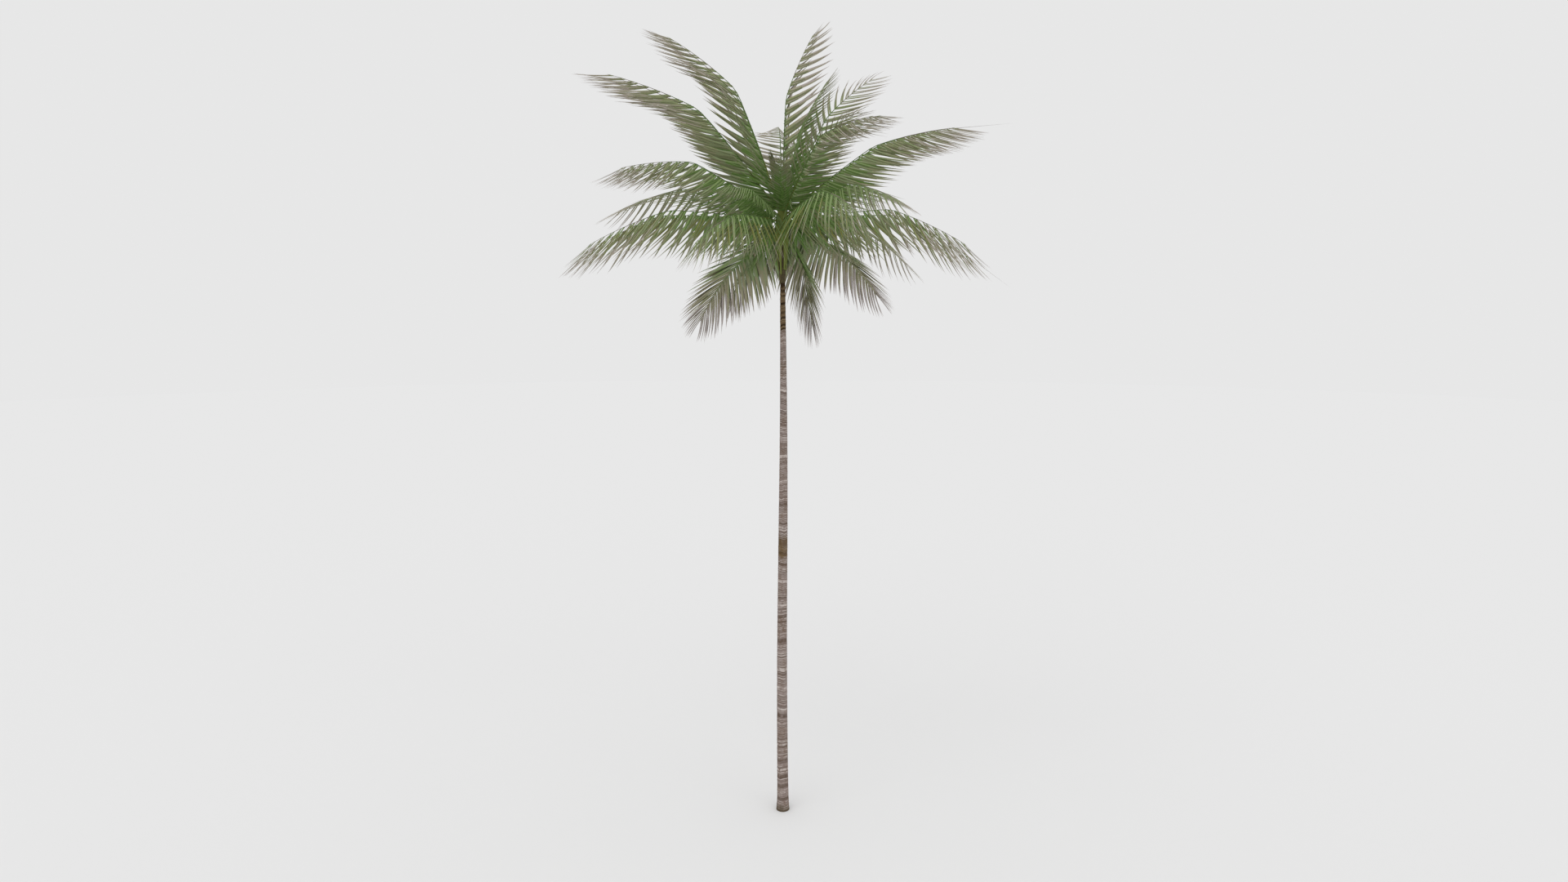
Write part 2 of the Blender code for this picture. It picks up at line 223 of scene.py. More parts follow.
class PalmTrunkProperties(bpy.types.PropertyGroup):
    """Sizes and colours of the ringed trunk."""
    lower_spacing: length_property(
        "Lower ring spacing", "Between two leaf scars on the lower trunk", 0.25, 0.05, 0.6)
    upper_spacing: length_property(
        "Upper ring spacing", "Between two leaf scars under the crown", 0.145, 0.05, 0.6)
    line_spacing: length_property(
        "Line spacing", "Between two of the fine ridges and grooves of the bark", 0.019, 0.005, 0.1)
    lip: length_property(
        "Lip", "How far a fine ridge or the edge of a scar stands out", 0.0030, 0.0, 0.02)
    groove: length_property(
        "Groove", "Depth of a fine groove or of a leaf scar", 0.0040, 0.0, 0.02)
    wave: length_property(
        "Wave", "How far a leaf scar rises and falls round the trunk", 0.018, 0.0, 0.05)
    roughening: length_property(
        "Roughening", "Height of the bark's small knobs", 0.0022, 0.0, 0.01)
    bark: colour_property("Bark", "Weathered bark between the scars", (150, 136, 131))
    # The pale bark is the bleached colour of the named pale lips, and painted light on every fine
    # ridge.
    pale: colour_property("Pale bark", "Bleached ridges and scar lips", (210, 200, 194))
    brown: colour_property("Brown bark", "Darker patches of the bark", (116, 95, 78))
    # The scar colour is the leaf scars' own dark, and painted shade in every fine groove.
    scar: colour_property("Scar", "Grooves and leaf scars", (70, 52, 34))
    young: colour_property("Young bark", "Fresh bark close under the crown", (114, 95, 70))
    tan: colour_property("Tan bark", "Lighter ridges of the fresh bark", (156, 136, 110))
    black: colour_property("Fresh scar", "Leaf scars close under the crown", (50, 37, 22))
    ochre: colour_property("Ochre", "The stained band half way up", (112, 91, 57))
    moss: colour_property("Moss", "Green growth round the foot", (80, 72, 48))


class PalmHeadProperties(bpy.types.PropertyGroup):
    """Sizes and colours of the head of leaf sheaths."""
    strap_width: length_property(
        "Strap width", "Width of a leaf sheath where its frond leaves it", 0.095, 0.02, 0.3)
    strap_thickness: length_property(
        "Strap thickness", "Thickness of a leaf sheath", 0.008, 0.002, 0.03)
    fibre: colour_property("Fibre", "Brown fibre between the leaf sheaths", (58, 48, 27))
    old_fibre: colour_property("Old fibre", "Bleached strands in the fibre", (112, 100, 60))


class PalmFrondProperties(bpy.types.PropertyGroup):
    """Sizes of the rachises and leaflets."""
    foot_width: length_property(
        "Foot width", "Width of a rachis where it leaves the head", 0.052, 0.01, 0.2)
    end_width: length_property(
        "End width", "Width of a rachis at its last leaflet", 0.009, 0.002, 0.05)
    pairs: IntProperty(
        name="Pairs a side", description="Bunches of two leaflets down each side of a frond",
        default=18, min=4, max=80)
    leaflet_width: length_property(
        "Leaflet width", "Width of a leaflet at its broadest", 0.074, 0.01, 0.2)
    midrib_width: length_property(
        "Midrib width", "Width of the pale midrib on a leaflet", 0.011, 0.002, 0.05)
    leaflet_fold: FloatProperty(
        name="Fold", description="How far a leaflet's edges hang below its midrib",
        default=0.30, min=0.0, max=1.0, subtype="FACTOR")
    leaflet_curve: FloatProperty(
        name="Curve", description="How far a leaflet turns towards the tip of its frond",
        default=math.radians(16.0), min=0.0, max=math.radians(90.0), subtype="ANGLE")
    seed: IntProperty(
        name="Seed", description="Start of the random order of the leaflets", default=7, min=0)


class PalmToneProperties(bpy.types.PropertyGroup):
    """Plain colours dealt out along the leaflets, from the rib to the tip."""
    deep: colour_property("Deep green", "Leaflets in the heart of the crown", (111, 145, 72))
    green: colour_property("Green", "Young leaflets close to the rib", (124, 146, 88))
    soft: colour_property("Soft green", "Middle of a leaflet", (138, 150, 112))
    olive: colour_property("Olive", "Where the green turns dull", (148, 145, 114))
    khaki: colour_property("Khaki", "Drying blade", (156, 151, 128))
    mauve: colour_property("Mauve", "Dry blade near the tip", (167, 158, 153))
    pale: colour_property("Pale mauve", "Bleached tip", (186, 179, 175))
    gold: colour_property("Gold", "Old leaflets under the crown", (126, 127, 64))
    # The next two tones are painted shade: darker copies of the leaflet tones, given to the half of
    # each folded leaflet that would lie in its fold's shade.
    dark: colour_property("Dark green", "Shaded half of a green leaflet", (99, 127, 65))
    painted_shade_dull: colour_property("Umber", "Shaded half of a dull leaflet", (120, 125, 90))
    midrib: colour_property("Midrib", "Middle of a green leaflet", (140, 155, 110))
    dry_midrib: colour_property("Dry midrib", "Middle of a dry blade", (168, 160, 150))
    stalk: colour_property("Stalk", "Foot of a rachis", (108, 118, 56))
    rib: colour_property("Rib", "Middle of a rachis", (92, 112, 64))
    dry_rib: colour_property("Dry rib", "Outer end of a rachis", (122, 112, 102))


class PalmStageProperties(bpy.types.PropertyGroup):
    """Floor, light and camera."""
    floor_radius: length_property(
        "Floor radius", "Radius of the round floor", 150.0, 10.0, 500.0)
    floor: colour_property("Floor", "Plain pale floor", (236, 236, 236))
    sky: FloatProperty(
        name="Sky", description="Strength of the even light from all sides",
        default=0.80, min=0.0, max=5.0)
    key: FloatProperty(
        name="Key light", description="Strength of the wide soft lamp above the camera's left",
        default=0.45, min=0.0, max=20.0)
    fill: FloatProperty(
        name="Fill light", description="Strength of the wide soft lamp low on the camera's right",
        default=0.3, min=0.0, max=20.0)
    lamp_spread: FloatProperty(
        name="Lamp spread", description="Apparent size of both lamps",
        default=math.radians(50.0), min=0.0, max=math.radians(180.0), subtype="ANGLE")
    camera_back: length_property(
        "Camera distance", "Level distance of the camera from the trunk", 20.75, 5.0, 100.0)
    camera_height: length_property(
        "Camera height", "Height of the camera above the ground", 11.38, 0.0, 50.0)
    camera_aside: length_property(
        "Camera aside", "Place of the camera to the right of the trunk", 0.0267, -10.0, 10.0)
    camera_down: FloatProperty(
        name="Camera pitch", description="How far the camera looks down",
        default=math.radians(7.5), min=-1.5, max=1.5, subtype="ANGLE")
    focal: FloatProperty(
        name="Focal length", description="Lens for a sensor 36 mm wide",
        default=36.0 * 1158.0 / 1920.0, min=5.0, max=300.0, unit="CAMERA")


# Shaders

class Wire:
    """A socket in arithmetic: each operator adds the Math node that it stands for."""

    def __init__(self, shade, socket):
        self.shade = shade
        self.socket = socket

    def math(self, operation, other):
        return self.shade.node("ShaderNodeMath", {"operation": operation}, {0: self, 1: other})

    def __add__(self, other):
        return self.math("ADD", other)

    __radd__ = __add__

    def __mul__(self, other):
        return self.math("MULTIPLY", other)

    __rmul__ = __mul__

    def clipped(self):
        """The value held between 0 and 1."""
        return self.shade.node("ShaderNodeClamp", {}, {"Value": self})


class Shade:
    """A material under construction, with the few moves that the finishes here need."""

    def __init__(self, name, colour, roughness, specular=0.5):
        self.material = bpy.data.materials.new(name)
        self.material.use_nodes = True
        self.material.diffuse_color = (*colour, 1.0)
        self.tree = self.material.node_tree
        self.surface = self.tree.nodes["Principled BSDF"]
        self.surface.inputs["Base Color"].default_value = (*colour, 1.0)
        self.surface.inputs["Roughness"].default_value = roughness
        self.surface.inputs["Specular IOR Level"].default_value = specular

    def node(self, kind, settings, inputs, output=0):
        made = self.tree.nodes.new(kind)
        for key, value in settings.items():
            setattr(made, key, value)
        for key, value in inputs.items():
            self.feed(made.inputs[key], value)
        return Wire(self, made.outputs[output])

    def feed(self, socket, value):
        if isinstance(value, Wire):
            self.tree.links.new(value.socket, socket)
        else:
            socket.default_value = value

    def place(self):
        return self.node("ShaderNodeTexCoord", {}, {}, "Object")

    def stretched(self, scale):
        return self.node("ShaderNodeMapping", {}, {"Vector": self.place(), "Scale": scale})

    def grain(self, scale, stretch=(1.0, 1.0, 1.0), detail=3.0, roughness=0.55, between=None):
        """Noise over the plant, made a mask where two of its values are given to ramp between."""
        inputs = {
            "Vector": self.stretched(stretch), "Scale": scale, "Detail": detail,
            "Roughness": roughness,
        }
        value = self.node("ShaderNodeTexNoise", {}, inputs, "Fac")
        return self.ramp(value, *between) if between else value

    def height(self):
        return self.node("ShaderNodeSeparateXYZ", {}, {"Vector": self.place()}, "Z")

    def attribute(self, name):
        return self.node("ShaderNodeAttribute", {"attribute_name": name}, {}, "Fac")

    def ramp(self, value, low, high, start=0.0, end=1.0):
        inputs = {
            "Value": value, "From Min": low, "From Max": high, "To Min": start, "To Max": end,
        }
        settings = {"interpolation_type": "SMOOTHSTEP", "clamp": True}
        return self.node("ShaderNodeMapRange", settings, inputs)

    def blend(self, factor, first, second):
        """A Mix node on colours, where plain ones are three numbers."""
        first = first if isinstance(first, Wire) else (*first, 1.0)
        second = second if isinstance(second, Wire) else (*second, 1.0)
        inputs = {0: factor, 6: first, 7: second}
        return self.node("ShaderNodeMix", {"data_type": "RGBA"}, inputs, 2)

    def bump(self, height, strength, distance):
        inputs = {"Height": height, "Strength": strength, "Distance": distance}
        self.feed(self.surface.inputs["Normal"], self.node("ShaderNodeBump", {}, inputs))

    def finish(self, colour=None, roughness=None):
        if colour is not None:
            self.feed(self.surface.inputs["Base Color"], colour)
        if roughness is not None:
            self.feed(self.surface.inputs["Roughness"], roughness)
        return self.material


def bark_material(look):
    """Bleached, finely ringed bark: dark scars, stains, and brown close under the crown, with
    painted shade in the fine grooves and painted light on the fine ridges.
    """
    shade = Shade("ringed_bark", look.bark, 0.9, specular=0.10)
    level = shade.height()
    scar = shade.attribute("scar")
    lip = shade.attribute("lip")
    patches = shade.grain(7.0, (1.0, 1.0, 0.5), detail=4.0, between=(0.40, 0.66))
    lines = shade.grain(3.0, (2.5, 2.5, 14.0), detail=5.0, roughness=0.62, between=(0.40, 0.66))
    specks = shade.grain(60.0, (1.0, 1.0, 1.6), roughness=0.7, between=(0.50, 0.72))
    colour = shade.blend(patches * 0.50 + lines * 0.35, look.bark, look.brown)
    # The named lips are pale in their own colour; on the fine ridges the pale is painted light.
    colour = shade.blend(lip * 0.95, colour, look.pale)
    stain = shade.ramp(level + 0.10 * lines, *STAIN[:2])
    stain = stain * shade.ramp(level + 0.10 * lines, *STAIN[2:], 1.0, 0.0)
    colour = shade.blend(stain * (0.70 + 0.30 * patches), colour, look.ochre)
    moss = shade.ramp(level + 0.10 * patches, *MOSS, 1.0, 0.0)
    colour = shade.blend(moss * 0.75, colour, look.moss)
    young = shade.ramp(level + 0.03 * lines, *YOUNG)
    fresh = shade.blend(lip * 0.9, look.young, look.tan)
    colour = shade.blend(young, colour, fresh)
    # The leaf scars are dark in their own colour; in the fine grooves the dark is painted shade,
    # with specks.
    dark = shade.blend(young, look.scar, look.black)
    groove = (scar * (1.0 + 0.15 * young) + specks * 0.25).clipped()
    colour = shade.blend(groove, colour, dark)
    relief = lines * 0.6 + specks * 0.4 + patches * 0.3
    shade.bump(relief, 0.6, 0.004)
    return shade.finish(colour, 0.80 + 0.15 * patches)


def fibre_material(look):
    """Brown matted fibre with bleached strands that run up the head."""
    shade = Shade("sheath_fibre", look.fibre, 0.95)
    strands = shade.grain(9.0, (7.0, 7.0, 0.8), detail=5.0, roughness=0.65, between=(0.42, 0.66))
    weave = shade.grain(40.0, (1.0, 1.0, 0.6))
    colour = shade.blend(strands * 0.7, look.fibre, look.old_fibre)
    shade.bump(strands * 0.7 + weave * 0.3, 0.8, 0.005)
    return shade.finish(colour, 0.85 + 0.1 * strands)


def leaf_material(name, colour, gloss):
    """One plain tone of a blade, with a sheen that comes and goes over the crown."""
    shade = Shade(name, colour, 0.5, specular=0.15)
    patches = shade.grain(2.2, between=(0.35, 0.65))
    return shade.finish(roughness=gloss + 0.14 * patches)


# Mesh helpers

def new_piece(name, mesh, materials):
    piece = bpy.data.objects.new(name, mesh)
    bpy.context.scene.collection.objects.link(piece)
    for finish in materials:
        mesh.materials.append(finish)
    return piece


def mesh_of(shape, name):
    mesh = bpy.data.meshes.new(name)
    shape.to_mesh(mesh)
    shape.free()
    return mesh


def spin_round(shape, profile, sides):
    """Spins a profile all the way round the upright axis through the origin."""
    bmesh.ops.spin(
        shape, geom=profile, cent=(0.0, 0.0, 0.0), axis=UP, dvec=(0.0, 0.0, 0.0),
        angle=2.0 * math.pi, steps=sides, use_merge=True,
    )


def close_ends(shape):
    bmesh.ops.holes_fill(shape, edges=[edge for edge in shape.edges if edge.is_boundary])


def smooth(mesh, crease):
    """Shades a mesh smooth but for edges sharper than the crease, in degrees."""
    mesh.shade_smooth()
    mesh.set_sharp_from_angle(angle=math.radians(crease))


def seat(piece, slot, *nodes):
    """Puts a finished piece on the plant's body in place of the solids that it stands for."""
    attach(piece, BODY)
    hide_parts(*nodes)


def ease(value):
    """A smooth step from 0 to 1."""
    value = min(max(value, 0.0), 1.0)
    return value * value * (3.0 - 2.0 * value)


# Trunk

def trunk_radius(level):
    upper = UPPER_TAPER * max(level - UPPER_START, 0.0)
    flare = FLARE * math.exp(-level / FLARE_HEIGHT)
    return TRUNK_RADIUS - TAPER * level - upper + flare


def trunk_axis(level):
    """How far the trunk's slight double curve stands aside at a level."""
    share = (min(max(level, SWAY_START), SWAY_END) - SWAY_START) / (SWAY_END - SWAY_START)
    return -SWAY * math.sin(2.0 * math.pi * share)


def ring_levels(look, draw):
    """Heights of the leaf scars: wide apart low down and close together under the crown."""
    levels = []
    level = FIRST_RING
    while level < TRUNK_TOP - TOP_MARGIN:
        levels.append(level)
        share = ease((level - CLOSER_START) / CLOSER_SPAN)
        spacing = look.lower_spacing + (look.upper_spacing - look.lower_spacing) * share
        level += spacing * draw.uniform(*RING_CHANCE)
    return levels


def hump(level, middle, half):
    """1 round the middle, falling to 0 at the half height."""
    return ease(1.5 * (1.0 - abs(level - middle) / half))


def scar_depth(level, rings):
    named = max(depth * hump(level, middle, half) for middle, half, depth in DARK_SCARS)
    common = max(depth * hump(level, middle, half) for middle, half, depth in rings)
    return max(named, common)


# A row of the trunk: its level, its move out, the depth of its scar, its lip, and its share of the
# wave and the roughness. On a fine line the scar and the lip also stand for painted shade and
# painted light.
Row = namedtuple("Row", "level out scar lip wild")


def trunk_rows(look, draw):
    """Rows up the trunk, with a ridge and a groove by turns, broken by the leaf scars."""
    rings = [(level, draw.uniform(*RING_HALVES), draw.uniform(*RING_DEPTHS))
             for level in ring_levels(look, draw)]
    rows = [Row(0.0, 0.0, 0.3, 0.0, 0.0)]
    level = 0.5 * look.line_spacing
    ridge = True
    while level < TRUNK_TOP - 0.5 * look.line_spacing:
        dark = scar_depth(level, rings)
        pale = max(hump(level, middle, half) for middle, half in PALE_LIPS)
        fine = draw.uniform(0.2, 1.0)
        # A fine groove's scar value both sinks it and darkens it as painted shade; a fine ridge's
        # lip value both raises it and pales it as painted light.
        scar = max(dark, 0.0 if ridge else 0.85 * fine * (1.0 - 0.7 * pale))
        lip = max(0.8 * pale, fine if ridge else 0.0) * (1.0 - dark)
        out = look.lip * lip - look.groove * scar
        rows.append(Row(level, out, scar, lip, ease(level / CALM_FOOT)))
        ridge = not ridge
        level += look.line_spacing * draw.uniform(*LINE_CHANCE)
    rows.append(Row(TRUNK_TOP, -0.003, 0.6, 0.0, 0.0))
    return rows


# Noise on the bark: how often each kind varies across the trunk and up it, in a metre
RAG_GRAIN = (22.0, 6.0)
KNOB_GRAIN = (14.0, 20.0)
FINE_KNOB_GRAIN = (45.0, 60.0)
PATCH_GRAIN = (20.0, 14.0)
# How far the wave of a row turns round the trunk for each metre up
WAVE_TURN = 1.9


def grain_at(place, grain):
    across, up = grain
    return noise.noise(Vector((place[0] * across, place[1] * across, place[2] * up)))


def wave_at(place, phases):
    """How far a row rises and falls at a place: three sines round the trunk, made ragged."""
    angle = math.atan2(place.y, place.x)
    turn = place.z * WAVE_TURN
    wave = math.sin(2.0 * angle + phases[0] + turn)
    wave += 0.6 * math.sin(3.0 * angle + phases[1] - turn)
    wave += 0.4 * math.sin(5.0 * angle + phases[2] + 2.0 * turn)
    return wave + 0.5 * grain_at(place, RAG_GRAIN)


def weather(shape, look, rows, phases):
    """Writes the scars and lips, patchily, with painted shade and light on the fine lines, then
    sways, waves and roughens the trunk.
    """
    levels = np.array([row.level for row in rows])
    scar = shape.verts.layers.float.new("scar")
    lip = shape.verts.layers.float.new("lip")
    for vert in shape.verts:
        row = rows[int(np.argmin(np.abs(levels - vert.co.z)))]
        wave = wave_at(vert.co, phases)
        knob = grain_at(vert.co, KNOB_GRAIN) + 0.6 * grain_at(vert.co, FINE_KNOB_GRAIN)
        patch = 0.5 + grain_at((vert.co.x, vert.co.y, row.level), PATCH_GRAIN)
        swell = 1.0 + look.roughening * knob * row.wild / math.hypot(vert.co.x, vert.co.y)
        vert[scar] = row.scar * min(max(0.55 + patch, 0.0), 1.0)
        vert[lip] = row.lip * min(max(patch * 1.8, 0.0), 1.0)
        vert.co.x = vert.co.x * swell + trunk_axis(row.level)
        vert.co.y *= swell
        vert.co.z += look.wave * wave * row.wild * 0.5


def trunk_mesh(look, draw):
    """A profile spun about the trunk's axis and weathered."""
    rows = trunk_rows(look, draw)
    shape = bmesh.new()
    points = [shape.verts.new((trunk_radius(row.level) + row.out, 0.0, row.level)) for row in rows]
    edges = [shape.edges.new(pair) for pair in zip(points, points[1:])]
    spin_round(shape, points + edges, TRUNK_SIDES)
    close_ends(shape)
    weather(shape, look, rows, [draw.uniform(0.0, 2.0 * math.pi) for _ in range(3)])
    bmesh.ops.recalc_face_normals(shape, faces=shape.faces)
    mesh = mesh_of(shape, "trunk_bark")
    smooth(mesh, 60.0)
    return mesh


class PALM_OT_grow_trunk(bpy.types.Operator):
    """Grow the trunk with its leaf scars"""
    bl_idname = "palm.grow_trunk"
    bl_label = "Grow the trunk"

    def execute(self, context):
        look = context.scene.palm_trunk
        draw = np.random.default_rng(TRUNK_SEED)
        piece = new_piece("trunk_bark", trunk_mesh(look, draw), [bark_material(look)])
        seat(piece, "bark", "trunk")
        return {"FINISHED"}


# Crown: the rule that the solids were grown by

def head_radius(level):
    levels, radii = zip(*HEAD_PROFILE)
    return float(np.interp(level, levels, radii))


def foot_of(frond):
    """Where a rachis leaves the head: the steeper it is, the higher up."""
    level = FOOT_LEVEL + FOOT_CLIMB * min(frond.rise, STEEP_RISE)
    level += STEEP_CLIMB * max(frond.rise - STEEP_RISE, 0.0)
    azimuth = math.radians(frond.azimuth)
    radius = head_radius(level)
    return Vector((HEAD_AXIS_X + radius * math.cos(azimuth), radius * math.sin(azimuth), level))


def heading(frond, share, spread=BEND_SPREAD):
    """Directions along the rachis, across it and up from it, at a share of its length.

    Leaflets take them from a bend that is spread wider.
    """
    bent = ease((share - BEND_SHARE) / spread + 0.5)
    rise = frond.rise + SPRING * (1.0 - 2.0 * min(share / BEND_SHARE, 1.0))
    rise -= (frond.droop - BEND_SAG) * bent
    rise -= OUTER_SAG * max(share - BEND_SHARE, 0.0) / (1.0 - BEND_SHARE)
    rise = math.radians(rise)
    azimuth = math.radians(frond.azimuth + frond.turn * bent)
    level = Vector((math.cos(azimuth), math.sin(azimuth), 0.0))
    along = level * math.cos(rise) + UP * math.sin(rise)
    level_side = level.cross(UP)
    level_upper = level_side.cross(along)
    roll = math.radians(frond.roll)
    side = level_side * math.cos(roll) + level_upper * math.sin(roll)
    return along, side, side.cross(along)


def rachis_line(frond, steps=60):
    """Points from the foot of a rachis to its last leaflet."""
    step = RACHIS_LENGTH * frond.size / steps
    points = [foot_of(frond)]
    for index in range(steps):
        along = heading(frond, (index + 0.5) / steps)[0]
        points.append(points[-1] + along * step)
    return points


def point_at(line, share):
    """The point of a rachis at a share of its length."""
    place = share * (len(line) - 1)
    index = min(int(place), len(line) - 2)
    return line[index].lerp(line[index + 1], place - index)


def sweep_of(frond, share):
    """The angle between the rachis and a leaflet: less on steep fronds and towards the tip."""
    inner = float(np.interp(frond.rise, RISES, INNER_SWEEPS))
    outer_share = float(np.interp(frond.rise, RISES, OUTER_SHARES))
    sweeps = (inner, *(outer_share * sweep for sweep in OUTER_SWEEPS))
    return float(np.interp(share, SWEEP_STATIONS, sweeps))


def frond_nodes(fronds):
    return [f"frond_{FRONDS.index(frond) + 1:02d}" for frond in fronds]


# Rachises

RACHIS_STEPS = 26
# Width just past the flared foot as a share of the foot's, how soon the flare ends, and how the
# rest tapers
NECK_WIDTH = 0.62
FLARE_SHARE = 0.05
TAPER_POWER = 0.8
# The foot sinks this far into the head, and the bare end is at least so long.
SUNK = 0.05
LEAST_WHIP = 0.04
# The stalk's and the rib's colours end at these shares of the rachis.
STALK_END = 0.22
GREEN_END = 0.66
# A rachis in section, in shares of its width: a grooved top over a rounded keel
RACHIS_SECTION = (
    (-0.50, 0.16), (-0.20, 0.24), (0.0, 0.16), (0.20, 0.24), (0.50, 0.16),
    (0.36, -0.26), (0.0, -0.46), (-0.36, -0.26),
)


def rachis_width(look, frond, share):
    neck = look.foot_width * NECK_WIDTH
    width = look.end_width + (neck - look.end_width) * (1.0 - share) ** TAPER_POWER
    width += (look.foot_width - neck) * math.exp(-share / FLARE_SHARE)
    return width * frond.size


class Pile:
    """Points, faces and slots of many small shapes that are joined into one mesh."""

    def __init__(self):
        self.points = []
        self.faces = []
        self.slots = []
        self.count = 0

    def add_tube(self, rings, tip, slots):
        """Rings of points from foot to tip, a cap on the first and the last drawn to a point.

        The slots are a row of one for each side of the tube, for each ring.
        """
        sides = len(rings[0])
        first = self.count
        for ring in rings:
            self.points.extend(ring)
        self.points.append(tip)
        self.count += len(rings) * sides + 1
        self.faces.append([first + index for index in range(sides)])
        self.slots.append(slots[0][0])
        for row in range(len(rings) - 1):
            start = first + row * sides
            for index in range(sides):
                after = (index + 1) % sides
                self.faces.append(
                    (start + after, start + index, start + sides + index, start + sides + after))
            self.slots.extend(slots[row])
        start = first + (len(rings) - 1) * sides
        for index in range(sides):
            self.faces.append((start + (index + 1) % sides, start + index, self.count - 1))
        self.slots.extend(slots[-1])

    def mesh(self, name):
        """One mesh of all the shapes, with a slot for each face."""
        mesh = bpy.data.meshes.new(name)
        mesh.from_pydata(self.points, [], self.faces)
        mesh.polygons.foreach_set("material_index", np.asarray(self.slots, np.int32))
        mesh.update()
        return mesh


STALK, RIB, DRY_RIB = range(3)


def add_rachis(pile, look, frond, line):
    rings = []
    slots = []
    for step in range(RACHIS_STEPS):
        share = step / RACHIS_STEPS
        along, side, upper = heading(frond, share)
        centre = point_at(line, share)
        if step == 0:
            centre = centre - along * SUNK
        width = rachis_width(look, frond, share)
        rings.append([
            tuple(centre + side * (across * width) + upper * (up * width))
            for across, up in RACHIS_SECTION
        ])
        tone = STALK if share < STALK_END else RIB if share < GREEN_END else DRY_RIB
        slots.append([tone] * len(RACHIS_SECTION))
    along = heading(frond, 1.0)[0]
    pile.add_tube(rings, tuple(line[-1] + along * max(frond.whip, LEAST_WHIP)), slots)


class PALM_OT_draw_rachises(bpy.types.Operator):
    """Draw the rachis of every frond"""
    bl_idname = "palm.draw_rachises"
    bl_label = "Draw the rachises"

    def execute(self, context):
        look = context.scene.palm_fronds
        tones = context.scene.palm_tones
        pile = Pile()
        for frond in FRONDS:
            add_rachis(pile, look, frond, rachis_line(frond))
        finishes = [
            leaf_material("stalk_green", tones.stalk, 0.45),
            leaf_material("rib_green", tones.rib, 0.45),
            leaf_material("rib_dry", tones.dry_rib, 0.6),
        ]
        mesh = pile.mesh("rachises")
        smooth(mesh, 50.0)
        piece = new_piece("rachises", mesh, finishes)
        seat(piece, "frond", *frond_nodes(FRONDS))
        return {"FINISHED"}


# Leaflets

# Along a leaflet, from its foot to its tip: the share of its length, and of its width at each of
# the rings before the tip
BLADE_STATIONS = np.array((0.0, 0.07, 0.18, 0.31, 0.46, 0.61, 0.76, 0.89, 1.0))
BLADE_WIDTHS = np.array((0.80, 0.94, 1.0, 1.0, 0.94, 0.74, 0.46, 0.20))
BLADE_THICKNESS = 0.0035
MIDRIB_HEIGHT = 0.0022
# How much thinner a blade and narrower its midrib grow by the tip
TIP_THINNING = 0.6
MIDRIB_TAPER = 0.75
# How far a leaflet's tip hangs, as a share of its length, and how far chance twists it, in radians
TIP_SAG = 0.06
TWIST = 0.10

# Along a rachis: where the leaflets begin, how far the two of a bunch stand from its middle, and
# how far each strays, in steps from one bunch to the next
FIRST_LEAFLET = 0.015
BUNCH_GAP = 0.15
STRAY = 0.04
# In degrees: how far the two of a bunch differ in lift and sweep, and how much chance adds
BUNCH_LIFT = 2.0
LIFT_SPREAD = 1.6
BUNCH_SWEEP = 1.0
SWEEP_SPREAD = 1.0
# The first leaflets stand out more squarely, in degrees, up to this share of the rachis.
FOOT_SWEEP = 32.0
FOOT_SHARE = 0.12

# Leaflets narrow by this much from a share of the rachis on to its tip.
NARROW_START = 0.28
TIP_NARROWING = 0.80
# On a small frond they keep at least this share of their width.
LEAST_WIDTH = 0.5
# On the hanging fronds and the upright one, which are seen edge on, they are broader.
LOW_RISE = -5.0
STEEPEST = 80.0
BROADER = 2.05
# Hanging fronds and those smaller than this have half as many leaflets again.
YOUNG_SIZE = 0.6

DEEP, GREEN, SOFT, OLIVE, KHAKI, MAUVE, PALE, GOLD, PAINTED_SHADE_GREEN, PAINTED_SHADE_DULL, MIDRIB, DRY_MIDRIB = range(12)
TONE_NAMES = (
    "deep", "green", "soft", "olive", "khaki", "mauve", "pale", "gold", "dark", "painted_shade_dull",
    "midrib", "dry_midrib",
)
# Tones from the foot of a leaflet to its tip
TONE_ROWS = {
    "heart": (DEEP, DEEP, GREEN, GREEN, DEEP, GREEN, GREEN, SOFT),
    "fresh": (DEEP, GREEN, GREEN, GREEN, SOFT, SOFT, OLIVE, KHAKI),
    "ripe": (GREEN, SOFT, SOFT, SOFT, OLIVE, OLIVE, KHAKI, PALE),
    "dull": (SOFT, OLIVE, OLIVE, KHAKI, KHAKI, MAUVE, MAUVE, PALE),
    "grey": (OLIVE, KHAKI, KHAKI, MAUVE, MAUVE, MAUVE, PALE, PALE),
    "gold": (DEEP, GREEN, GOLD, GOLD, GOLD, OLIVE, KHAKI, MAUVE),
}
# Painted shade: the darker tone given to the half of each leaflet towards the foot of its frond, in
# place of the shade of its fold
PAINTED_FOLD_SHADE = {
    DEEP: PAINTED_SHADE_GREEN, GREEN: PAINTED_SHADE_GREEN, SOFT: PAINTED_SHADE_DULL, OLIVE: PAINTED_SHADE_DULL, KHAKI: PAINTED_SHADE_DULL, MAUVE: KHAKI, PALE: MAUVE,
    GOLD: PAINTED_SHADE_DULL,
}
# Painted light on the hanging fronds: the paler tone that the lit half of each of their leaflets
# takes, while the other half keeps the plain tone
LIFTED_BY_PAINTED_LIGHT = {
    DEEP: GREEN, GREEN: SOFT, SOFT: OLIVE, OLIVE: KHAKI, KHAKI: MAUVE, MAUVE: PALE, PALE: PALE,
    GOLD: OLIVE,
}

# A leaflet's age at the foot of a frond, what is added by its tip, and how much chance adds
FOOT_AGE = -0.02
AGE_GAIN = 1.05
AGE_SPREAD = 0.09
# Steeper fronds are duller: the rise in degrees, and what is added above it
AGE_BY_RISE = ((34.0, 0.14), (60.0, 0.08))
# On hanging fronds the outer side is duller and the side towards the trunk fresher.
OUTER_AGE = 0.10
INNER_AGE = -0.12
